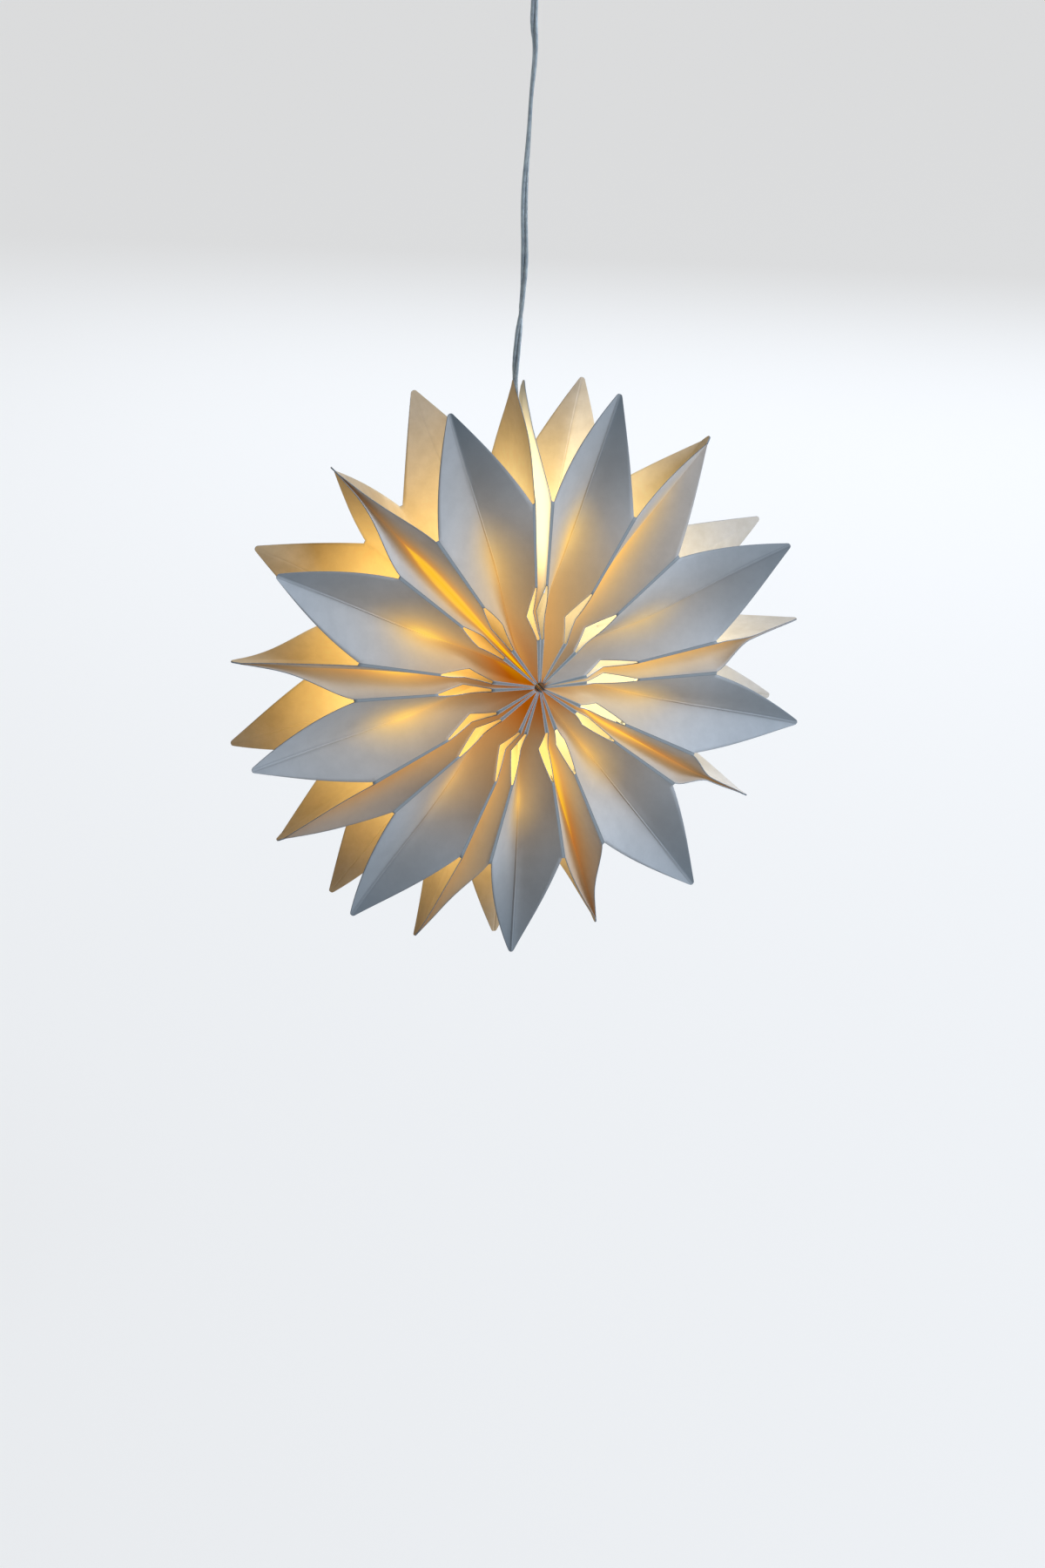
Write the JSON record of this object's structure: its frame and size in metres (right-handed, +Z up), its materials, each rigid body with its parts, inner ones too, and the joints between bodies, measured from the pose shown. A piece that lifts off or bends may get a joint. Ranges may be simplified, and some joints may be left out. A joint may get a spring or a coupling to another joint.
{
  "type": "paper star lantern",
  "caption": "Hanging paper star lantern: gusseted paper bags glued and fanned into a pointed star, small warm lamps inside, and a clear lead with a hanging loop and plug.",
  "frame": {"origin": "crown of the lead's hanging loop, on its inner side, straight above the star's centre", "axes": "+Z up along the hanging direction, +Y through the star from its front to its back, +X to the right seen from the front"},
  "size_m": [0.2724, 0.055, 0.5475],
  "materials": {
    "paper": "matte uncoated white paper, lit warm from inside",
    "clear_wire": "clear thin insulation over two fine strands",
    "shrink_sleeve": "translucent shrunk sleeve",
    "lamp_lens": "clear sealed drop, glowing warm white",
    "clear_lead": "clear flat twin lead over silvery strands",
    "nylon": "translucent natural nylon",
    "plug_plastic": "frosted clear moulding",
    "plated_metal": "nickel plated"
  },
  "bodies": {
    "root": {"paper_bag_1": "paper", "paper_bag_2": "paper", "paper_bag_3": "paper", "paper_bag_4": "paper", "paper_bag_5": "paper", "paper_bag_6": "paper", "paper_bag_7": "paper", "paper_bag_8": "paper", "paper_bag_9": "paper", "light_wire": "clear_wire", "wire_joint": "shrink_sleeve", "led_1": "lamp_lens", "led_2": "lamp_lens", "led_3": "lamp_lens", "led_4": "lamp_lens", "led_5": "lamp_lens", "led_6": "lamp_lens", "led_7": "lamp_lens", "led_8": "lamp_lens", "led_9": "lamp_lens", "lead": "clear_lead", "loop_tie": "nylon", "plug_body": "plug_plastic", "plug_barrel": "plated_metal"}
  },
  "joints": []
}
